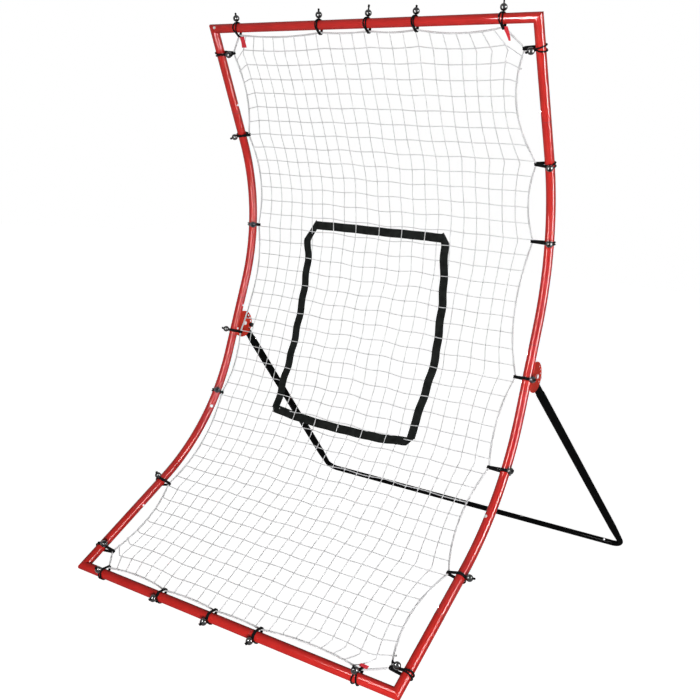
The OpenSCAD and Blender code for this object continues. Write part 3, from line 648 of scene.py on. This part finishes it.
def webbing_material():
    """Plain weave: fine ribs along the band crossed by picks in the bump, over a black whose tone drifts
    at random.
    """
    material, tree, shader = new_material("black_webbing", (0.020, 0.022, 0.021), 0.62)
    shader.inputs["Specular IOR Level"].default_value = 0.02
    uv = tree.nodes.new("ShaderNodeUVMap")
    uv.uv_map = "weave"
    ribs = tree.nodes.new("ShaderNodeTexWave")
    ribs.bands_direction = "Y"
    ribs.inputs["Scale"].default_value = 260.0
    picks = tree.nodes.new("ShaderNodeTexWave")
    picks.bands_direction = "X"
    picks.inputs["Scale"].default_value = 190.0
    weave = tree.nodes.new("ShaderNodeMath")
    weave.operation = "MULTIPLY"
    tree.links.new(uv.outputs["UV"], ribs.inputs["Vector"])
    tree.links.new(uv.outputs["UV"], picks.inputs["Vector"])
    tree.links.new(ribs.outputs["Fac"], weave.inputs[0])
    tree.links.new(picks.outputs["Fac"], weave.inputs[1])
    wear = noise_on(tree, 40.0, 4.0)
    vary_colour(tree, shader, wear.outputs["Fac"], (0.006, 0.007, 0.0065), (0.015, 0.017, 0.016))
    add_bump(tree, shader, weave.outputs["Value"], 0.0004, 0.8)
    shader.inputs["Sheen Weight"].default_value = 0.02
    shader.inputs["Sheen Roughness"].default_value = 0.4
    return material


black_webbing = webbing_material()

# %% Bands
BAND_THICKNESS = 0.0014
WEAVE_DEPTH = 0.0030
ACROSS = 6


def band(name, rows, body, node):
    """A strip of webbing. Each row is (left point, right point, back) with points (x, s)."""
    vertices, faces = [], []
    length = 0.0
    lengths = []
    for i, (left, right, back) in enumerate(rows):
        middle = ((left[0] + right[0]) / 2, (left[1] + right[1]) / 2)
        if i:
            length += math.hypot(middle[0] - before[0], middle[1] - before[1])
        before = middle
        lengths.append(length)
        for k in range(ACROSS + 1):
            t = k / ACROSS
            x = left[0] + (right[0] - left[0]) * t
            s = left[1] + (right[1] - left[1]) * t
            vertices.append(place(x, s, back - 0.0005 * math.sin(math.pi * t)))
    for i in range(len(rows) - 1):
        for k in range(ACROSS):
            a = i * (ACROSS + 1) + k
            faces.append((a, a + 1, a + ACROSS + 2, a + ACROSS + 1))
    data = bpy.data.meshes.new(name)
    data.from_pydata(vertices, [], faces)
    layer = data.uv_layers.new(name="weave")
    for polygon in data.polygons:
        for loop in polygon.loop_indices:
            vertex = data.loops[loop].vertex_index
            row, k = divmod(vertex, ACROSS + 1)
            layer.data[loop].uv = (lengths[row], k / ACROSS * BAND_WIDTH)
    item = bpy.data.objects.new(name, data)
    bpy.context.scene.collection.objects.link(item)
    take(item)
    solidify = item.modifiers.new("thickness", "SOLIDIFY")
    solidify.thickness = BAND_THICKNESS
    solidify.offset = 0.0
    bpy.ops.object.modifier_apply(modifier="thickness")
    bpy.ops.object.mode_set(mode="EDIT")
    bpy.ops.mesh.select_all(action="SELECT")
    bpy.ops.mesh.normals_make_consistent(inside=False)
    bpy.ops.object.mode_set(mode="OBJECT")
    bpy.ops.object.shade_smooth_by_angle(angle=math.radians(40))
    item.data.materials.append(black_webbing)
    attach(item, body)
    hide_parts(node)
    print(name, "length:", round(length, 3))


def weave_back(place_in_squares, front_at):
    """How far behind the net the band lies: every second cord passes in front of it."""
    return WEAVE_DEPTH * math.cos(math.pi * (place_in_squares - front_at))


ZONE_STEP = 0.006

# %% Top and bottom bands
TOP_BAND = [(-0.300, 1.463), (-0.150, 1.464), (0.000, 1.463), (0.120, 1.464), (0.225, 1.463)]
BOTTOM_BAND = [(-0.327, 0.780), (-0.220, 0.768), (-0.100, 0.762), (0.020, 0.761),
               (0.130, 0.762), (0.262, 0.776)]
CUT_ROWS = 6


def column_at(x):
    return (x - MEAN_LEFT) / (MEAN_RIGHT - MEAN_LEFT) * COLUMNS


def cross_band(name, line, left_cut, right_cut, front_at, node):
    """A band across the net. The cuts are how much further the lower edge starts or ends."""
    rows = []
    first, last = line[0][0], line[-1][0]
    count = round((last - first) / ZONE_STEP)
    for i in range(count + 1):
        t = i / count
        x = first + (last - first) * t
        s = between(x, line)
        low = x + left_cut * max(0.0, 1 - t * count / CUT_ROWS)
        low += right_cut * max(0.0, 1 - (1 - t) * count / CUT_ROWS)
        rows.append(((low, s - BAND_HALF), (x, s + BAND_HALF), weave_back(column_at(x), front_at)))
    band(name, rows, "frame", node)


cross_band("zone_band_top", TOP_BAND, 0.0, 0.022, 5, "strap_top")
cross_band("zone_band_bottom", BOTTOM_BAND, 0.008, -0.022, 5, "strap_bottom")

# %% Side bands
LEFT_FOLD = [((-0.348, 1.410), (-0.320, 1.404)), ((-0.324, 1.446), (-0.311, 1.424)),
             ((-0.300, 1.482), (-0.297, 1.447))]
RIGHT_FOLD = [((0.214, 1.446), (0.244, 1.446)), ((0.207, 1.458), (0.234, 1.464)),
              ((0.200, 1.470), (0.222, 1.482))]
FOLD_BACK = 0.0022


def row_at(s):
    return (s - END_GAP) / (TOP_ROPE_S - END_GAP) * ROWS


def side_band(name, line, fold, front_at, node):
    """A band up the net, with the rows of its fold at the top corner."""
    rows = []
    first, last = line[0][0], line[-1][0]
    count = round((last - first) / ZONE_STEP)
    for i in range(count + 1):
        s = first + (last - first) * i / count
        x = between(s, line)
        rows.append(((x - BAND_HALF, s), (x + BAND_HALF, s), weave_back(row_at(s), front_at)))
    for i, (left, right) in enumerate(fold):
        share = (i + 1) / len(fold)
        back = weave_back(row_at(last), front_at) * (1 - share) + FOLD_BACK * share
        rows.append((left, right, back))
    band(name, rows, "frame", node)


side_band("zone_band_left", LEFT_BAND, LEFT_FOLD, 16, "strap_left")
side_band("zone_band_right", RIGHT_BAND, RIGHT_FOLD, 16, "strap_right")

# %% [markdown]
# ## Elastic ties
# Each tie is a loop of elastic cord with a ball. The doubled cord goes round the tube, hooks the
# border rope and comes back to the ball, which keeps it closed. Both strands leave the ball
# together, spread on the far side of the tube and meet again at the rope. A knot outside the ball
# stops the cord's ends.

# %% Tie frames
TIE_RADIUS = 0.0024
RING_RADIUS = TUBE_RADIUS + TIE_RADIUS + 0.0002
HOOK_RADIUS = 0.0030 + TIE_RADIUS
BALL_RADIUS = 0.011
BALL_PLACE = TUBE_RADIUS + 0.00005 + 0.005 + BALL_RADIUS


def tie_frame(origin, along, towards):
    """A matrix with Z along the tube and X towards the rope."""
    along, towards = along.normalized(), towards.normalized()
    side = along.cross(towards)
    return Matrix.Translation(origin) @ Matrix((towards, side, along)).transposed().to_4x4()


def rail_tie(side, s):
    up = place(0, s + 0.001) - place(0, s - 0.001)
    return tie_frame(place(side * RAIL_X, s), up, Vector((-side, 0, 0)))


def end_tie(x, s, inward):
    up = place(0, s + 0.001) - place(0, s - 0.001)
    return tie_frame(place(x, s), Vector((inward, 0, 0)), -inward * up)


def belt_angle(reach):
    return math.acos((RING_RADIUS - HOOK_RADIUS) / reach)


def wrapped(angle):
    """The same turn, between minus and plus half a turn."""
    return math.atan2(math.sin(angle), math.cos(angle))


def tie_strand(reach, ball_turn, spread, sign):
    """Points of one strand, from the ball round the tube and the rope and back to the ball."""
    b = belt_angle(reach)
    start = wrapped(ball_turn)
    points = []

    def width(share):
        return sign * (TIE_RADIUS + spread * math.sin(math.pi * share) ** 0.8)

    steps = 30
    # Round the tube from the ball, away from the rope, to the far tangent point
    direction = 1 if start >= 0 else -1
    far = 2 * math.pi - b
    a = max(abs(start), b)
    for i in range(steps + 1):
        angle = a + (far - a) * i / steps
        share = i / steps
        points.append(Vector((RING_RADIUS * math.cos(angle),
                              direction * RING_RADIUS * math.sin(angle), width(share))))
    # The hook round the rope
    for i in range(11):
        angle = -b + 2 * b * i / 10
        points.append(Vector((reach + HOOK_RADIUS * math.cos(angle),
                              direction * HOOK_RADIUS * math.sin(angle), sign * TIE_RADIUS)))
    # Back to the tube on the ball's side
    for i in range(steps // 3 + 1):
        angle = b + (a - b) * i / (steps // 3)
        points.append(Vector((RING_RADIUS * math.cos(angle),
                              direction * RING_RADIUS * math.sin(angle),
                              sign * TIE_RADIUS * 1.05)))
    return points


def tie_tail(reach, ball_turn, tip):
    """The two ends side by side through the ball, then a stem to the knot."""
    b = belt_angle(reach)
    start = wrapped(ball_turn)
    out = 1 / math.cos(b - abs(start)) if abs(start) < b else 1.0
    direction = Vector((math.cos(ball_turn), math.sin(ball_turn), 0))
    inner, outer = RING_RADIUS * out, BALL_PLACE * out + BALL_RADIUS + tip
    return [direction * (inner + (outer - inner) * i / 6) for i in range(7)]


# %% Knots of the ties


def end_knot(radius):
    """Points of a small overhand knot: a cord that winds twice round itself."""
    points = []
    for i in range(25):
        t = 2 * math.pi * i / 24
        points.append(Vector((radius * (math.sin(t) + 2 * math.sin(2 * t)) / 3,
                              radius * (math.cos(t) - 2 * math.cos(2 * t)) / 3,
                              -radius * 0.55 * math.sin(3 * t))))
    return points


LEFT_TURNS = (-45, -87, -50, -121, -50, -113, -20)
RIGHT_TURNS = (-135, -16, -42, -38, -69, -69, -125)
TOP_TURNS = (110, 100, 90, 90, 95)
BOTTOM_TURNS = (140, 172, 186, 186, 120)
LOW_DEGREES = math.degrees(LOW_ANGLE)
HIGH_DEGREES = math.degrees(HIGH_ANGLE)

groups = {
    "left": [(rail_tie(-1, s), edge + RAIL_X, turn)
             for (s, edge), turn in zip(LEFT_TIES, LEFT_TURNS)],
    "right": [(rail_tie(1, s), RAIL_X - edge, turn - 180)
              for (s, edge), turn in zip(RIGHT_TIES, RIGHT_TURNS)],
    "top": [(end_tie(x, S_TOP, 1), END_GAP, turn + 90 + HIGH_DEGREES)
            for x, turn in zip(TOP_TIES, TOP_TURNS)],
    "bottom": [(end_tie(x, 0.0, -1), END_GAP, 90 - LOW_DEGREES - turn)
               for x, turn in zip(BOTTOM_TIES, BOTTOM_TURNS)],
}
SPREADS = {"left": (0.002, 0.001, 0.001, 0.001, 0.001, 0.002, 0.003),
           "right": (0.003, 0.005, 0.003, 0.003, 0.001, 0.003, 0.006),
           "top": (0.004, 0.001, 0.002, 0.001, 0.003),
           "bottom": (0.003, 0.003, 0.004, 0.004, 0.006)}
TIPS = {"left": (0.003, 0.004, 0.003, 0.003, 0.005, 0.004, 0.004),
        "right": (0.004, 0.004, 0.004, 0.003, 0.004, 0.004, 0.004),
        "top": (0.003, 0.004, 0.010, 0.002, 0.012),
        "bottom": (0.003, 0.003, 0.003, 0.003, 0.003)}

for group, ties in groups.items():
    runs, knots = [], []
    for (matrix, reach, turn), spread, tip in zip(ties, SPREADS[group], TIPS[group]):
        turn = math.radians(turn)
        for sign in (1, -1):
            runs.append([matrix @ p for p in tie_strand(reach, turn, spread, sign)])
        tail = tie_tail(reach, turn, tip)
        runs.append([matrix @ p for p in tail])
        across = (Matrix.Translation(tail[-1]) @ Matrix.Rotation(turn, 4, "Z")
                  @ Matrix.Rotation(0.7, 4, "X"))
        knots.append([matrix @ across @ p for p in end_knot(0.0034)])
    cords = cord_mesh("elastic_" + group, runs, TIE_RADIUS, elastic_black, 2)
    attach(cords, "frame")
    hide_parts("tie_cords_" + group)
    tips = cord_mesh("tie_knots_" + group, knots, 0.0017, elastic_black, 1, closed=True)
    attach(tips, "frame")
    print(group, "ties:", len(ties), "faces:", len(cords.data.polygons))

# %% [markdown]
# ## Corner tags
# Small red fabric tags are sewn to the border rope near three of its corners. Each is a short strip
# of cloth that curls a little towards its cut end.

# %% Tags


def tag_material():
    material, tree, shader = new_material("red_tag_cloth", (0.78, 0.03, 0.05), 0.8)
    coordinates = tree.nodes.new("ShaderNodeTexCoord")
    threads = tree.nodes.new("ShaderNodeTexWave")
    threads.inputs["Scale"].default_value = 420.0
    threads.inputs["Distortion"].default_value = 1.5
    tree.links.new(coordinates.outputs["Object"], threads.inputs["Vector"])
    vary_colour(tree, shader, threads.outputs["Fac"], (0.62, 0.02, 0.035), (0.84, 0.05, 0.07),
                0.2, 0.8)
    add_bump(tree, shader, threads.outputs["Fac"], 0.0003, 0.7)
    shader.inputs["Specular IOR Level"].default_value = 0.05
    shader.inputs["Sheen Weight"].default_value = 0.04
    return material


red_tag = tag_material()
# Each tag: its place on the rope, its way down the net, its width and length, how far its end curls
# and leans, how much its middle is squeezed, and the share of its width that is left at the end
TAGS = {"upper_left": (-0.478, 2.140, -1, 0.021, 0.036, 0.006, 0.004, 0.18, 1.0),
        "upper_right": (0.494, 2.147, -1, 0.016, 0.038, 0.010, 0.014, 0.0, 0.4),
        "lower_right": (0.474, 0.030, 1, 0.026, 0.010, 0.001, 0.001, 0.0, 1.0)}


def tag_rows(x, s, way, width, length, curl, lean, squeeze, taper):
    rows = []
    for i in range(9):
        t = i / 8
        half = width / 2 * (1.0 - squeeze * math.sin(math.pi * t)) * (1.0 + (taper - 1.0) * t)
        drift = lean * t
        here = s + way * length * t
        forward_of_net = -0.0036 - curl * t * t
        rows.append([place(x + drift + half * k / 4, here, forward_of_net + 0.0006 * math.sin(k + 5 * t))
                     for k in range(-4, 5)])
    return rows


TAG_COLUMNS = 9
for name, spec in TAGS.items():
    rows = tag_rows(*spec)
    tag_faces = []
    for i in range(len(rows) - 1):
        for k in range(TAG_COLUMNS - 1):
            a = i * TAG_COLUMNS + k
            tag_faces.append((a, a + 1, a + TAG_COLUMNS + 1, a + TAG_COLUMNS))
    tag_data = bpy.data.meshes.new("corner_tag_" + name)
    tag_data.from_pydata([point for row in rows for point in row], [], tag_faces)
    tag = bpy.data.objects.new("corner_tag_" + name, tag_data)
    bpy.context.scene.collection.objects.link(tag)
    take(tag)
    tag_thickness = tag.modifiers.new("thickness", "SOLIDIFY")
    tag_thickness.thickness = 0.0010
    bpy.ops.object.modifier_apply(modifier="thickness")
    bpy.ops.object.mode_set(mode="EDIT")
    bpy.ops.mesh.select_all(action="SELECT")
    bpy.ops.mesh.normals_make_consistent(inside=False)
    bpy.ops.object.mode_set(mode="OBJECT")
    bpy.ops.object.shade_smooth_by_angle(angle=math.radians(40))
    tag.data.materials.append(red_tag)
    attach(tag, "frame")
    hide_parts("corner_tags")
print("tags:", list(TAGS))

# %% [markdown]
# ## Tube seams
# Where one tube slides into the next, a hairline gap shows. A thin dark ring round each joint
# stands for that gap, because the CAD tubes meet face to face. Its dark colour is painted shadow,
# the shade that falls inside the gap.

# %% Seam rings
SEAM_RADIUS = 0.0005
S_UPPER_JOINT = S_TOP - 0.300
S_HINGE_MIDDLE = (S_BENDS[1] + S_BENDS[2]) / 2
S_JOINTS = (0.250, S_HINGE_MIDDLE - 0.073, S_HINGE_MIDDLE + 0.073, S_UPPER_JOINT)
seam_frames = []
for side in (-1, 1):
    for s in S_JOINTS:
        seam_frames.append(rail_tie(side, s))
seam_frames.append(end_tie(0.022, S_TOP, 1))
seam_frames.append(end_tie(0.112, 0.0, 1))
seam_runs = []
for matrix in seam_frames:
    seam_runs.append([matrix @ Vector((TUBE_RADIUS * math.cos(a), TUBE_RADIUS * math.sin(a), 0))
                      for a in [2 * math.pi * i / 48 for i in range(48)]])
seams = cord_mesh("tube_seams", seam_runs, SEAM_RADIUS, seam_shadow, 0, closed=True)
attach(seams, "frame")

# %% [markdown]
# ## Corner plug
# A pale plug closes the hole at the upper left corner. It is a disc with a soft edge and a shallow
# dish in its middle. It is shaped flat, then turned to stand square on the tube's front.

# %% Plug
PLUG_RADIUS = 0.0046
PLUG_DEPTH = 0.0024
PLUG_TURN = math.radians(28)
PLUG_X = -0.582
deselect_all()
bpy.ops.mesh.primitive_cylinder_add(vertices=24, radius=PLUG_RADIUS, depth=PLUG_DEPTH)
plug = bpy.context.view_layer.objects.active
plug.name = "corner_plug"
bpy.ops.object.mode_set(mode="EDIT")
bpy.ops.mesh.select_all(action="DESELECT")
plug_mesh = bmesh.from_edit_mesh(plug.data)
for face in plug_mesh.faces:
    face.select_set(face.normal.z > 0.9)
bmesh.update_edit_mesh(plug.data)
bpy.ops.mesh.inset(thickness=0.0016)
bpy.ops.transform.translate(value=(0.0, 0.0, -0.0007))
bpy.ops.object.mode_set(mode="OBJECT")
plug_edge = plug.modifiers.new("edge", "BEVEL")
plug_edge.width = 0.0004
plug_edge.segments = 2
bpy.ops.object.modifier_apply(modifier="edge")
bpy.ops.object.shade_smooth_by_angle(angle=math.radians(40))

rail_up = (place(0, S_TOP) - place(0, S_TOP - 0.01)).normalized()
front = (place(0, S_TOP, -0.01) - place(0, S_TOP)).normalized()
outward = math.cos(PLUG_TURN) * front + math.sin(PLUG_TURN) * rail_up
tube_way = Vector((1.0, 0.0, 0.0))
plug_seat = Matrix((tube_way, outward.cross(tube_way), outward)).transposed().to_4x4()
plug.data.transform(Matrix.Translation(place(PLUG_X, S_TOP) + outward * TUBE_RADIUS) @ plug_seat)
plug.data.materials.append(pale_plastic)
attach(plug, "frame")
print("corner plug at:", [round(v, 3) for v in place(PLUG_X, S_TOP) + outward * TUBE_RADIUS])

# %% [markdown]
# ## Floor and light
# The net stands on a plain white ground. The floor shows white to the camera by itself, and the
# lamps stay at a plain level: two tall soft boxes draw the two long highlights on the tubes, and
# the world fills the rest a little.

# %% Floor
FLOOR_SIZE = 40.0
deselect_all()
bpy.ops.mesh.primitive_plane_add(size=FLOOR_SIZE, location=(0.0, 0.0, 0.0))
floor = bpy.context.view_layer.objects.active
floor.name = "floor"
floor_paper, floor_tree, floor_shader = new_material("white_ground", (0.45, 0.45, 0.45), 0.9)
floor_shader.inputs["Specular IOR Level"].default_value = 0.0
glow = floor_tree.nodes.new("ShaderNodeEmission")
glow.inputs["Strength"].default_value = 0.985
path = floor_tree.nodes.new("ShaderNodeLightPath")
seen = floor_tree.nodes.new("ShaderNodeMath")
seen.operation = "MAXIMUM"
glow_amount = floor_tree.nodes.new("ShaderNodeMixShader")
nothing = floor_tree.nodes.new("ShaderNodeEmission")
nothing.inputs["Strength"].default_value = 0.0
together = floor_tree.nodes.new("ShaderNodeAddShader")
floor_tree.links.new(path.outputs["Is Camera Ray"], seen.inputs[0])
floor_tree.links.new(path.outputs["Is Glossy Ray"], seen.inputs[1])
floor_tree.links.new(seen.outputs["Value"], glow_amount.inputs["Fac"])
floor_tree.links.new(nothing.outputs["Emission"], glow_amount.inputs[1])
floor_tree.links.new(glow.outputs["Emission"], glow_amount.inputs[2])
floor_tree.links.new(floor_shader.outputs["BSDF"], together.inputs[0])
floor_tree.links.new(glow_amount.outputs["Shader"], together.inputs[1])
floor_output = floor_tree.nodes["Material Output"]
floor_tree.links.new(together.outputs["Shader"], floor_output.inputs["Surface"])
floor.data.materials.append(floor_paper)

# %% World
world = bpy.data.worlds.new("studio")
bpy.context.scene.world = world
world.use_nodes = True
world_tree = world.node_tree
ambient = world_tree.nodes["Background"]
ambient.inputs["Color"].default_value = (1.0, 1.0, 1.0, 1.0)
ambient.inputs["Strength"].default_value = 0.05
backdrop = world_tree.nodes.new("ShaderNodeBackground")
backdrop.inputs["Color"].default_value = (1.0, 1.0, 1.0, 1.0)
backdrop.inputs["Strength"].default_value = 1.0
world_path = world_tree.nodes.new("ShaderNodeLightPath")
world_seen = world_tree.nodes.new("ShaderNodeMath")
world_seen.operation = "MAXIMUM"
world_mix = world_tree.nodes.new("ShaderNodeMixShader")
world_tree.links.new(world_path.outputs["Is Camera Ray"], world_seen.inputs[0])
world_also_seen = world_tree.nodes.new("ShaderNodeMath")
world_also_seen.operation = "MAXIMUM"
world_tree.links.new(world_path.outputs["Is Glossy Ray"], world_seen.inputs[1])
world_tree.links.new(world_seen.outputs["Value"], world_also_seen.inputs[0])
world_tree.links.new(world_path.outputs["Is Transmission Ray"], world_also_seen.inputs[1])
world_tree.links.new(world_also_seen.outputs["Value"], world_mix.inputs["Fac"])
world_tree.links.new(ambient.outputs["Background"], world_mix.inputs[1])
world_tree.links.new(backdrop.outputs["Background"], world_mix.inputs[2])
world_output = world_tree.nodes["World Output"]
world_tree.links.new(world_mix.outputs["Shader"], world_output.inputs["Surface"])

# %% Lamps
AIM = Vector((0.0, 0.0, 0.9))


def aimed(name, kind, location, power, aim=AIM):
    data = bpy.data.lights.new(name, kind)
    data.energy = power
    lamp = bpy.data.objects.new(name, data)
    bpy.context.scene.collection.objects.link(lamp)
    lamp.location = location
    lamp.rotation_euler = (Vector(aim) - Vector(location)).to_track_quat("-Z", "Y").to_euler()
    return lamp


sun = aimed("low_sun", "SUN", (2.5, -3.5, 1.3), 0.50)
sun.data.angle = math.radians(24)
key = aimed("key", "AREA", (2.20, -3.60, 0.50), 138.0)
key.data.size = 1.1
key.visible_glossy = False
key.visible_camera = False


def strip_light(name, location, size, radiance):
    """A tall soft box that only draws highlights, so that it leaves the ground evenly lit."""
    power = radiance * math.pi * size[0] * size[1]
    lamp = aimed(name, "AREA", location, power, (0.0, 0.0, location[2]))
    lamp.data.shape = "RECTANGLE"
    lamp.data.size, lamp.data.size_y = size
    lamp.visible_diffuse = False
    lamp.visible_camera = False


strip_light("front_strip", (-0.05, -1.75, 1.20), (0.30, 1.5), 84.0)
strip_light("side_strip", (3.85, -0.15, 1.62), (1.0, 3.1), 74.0)
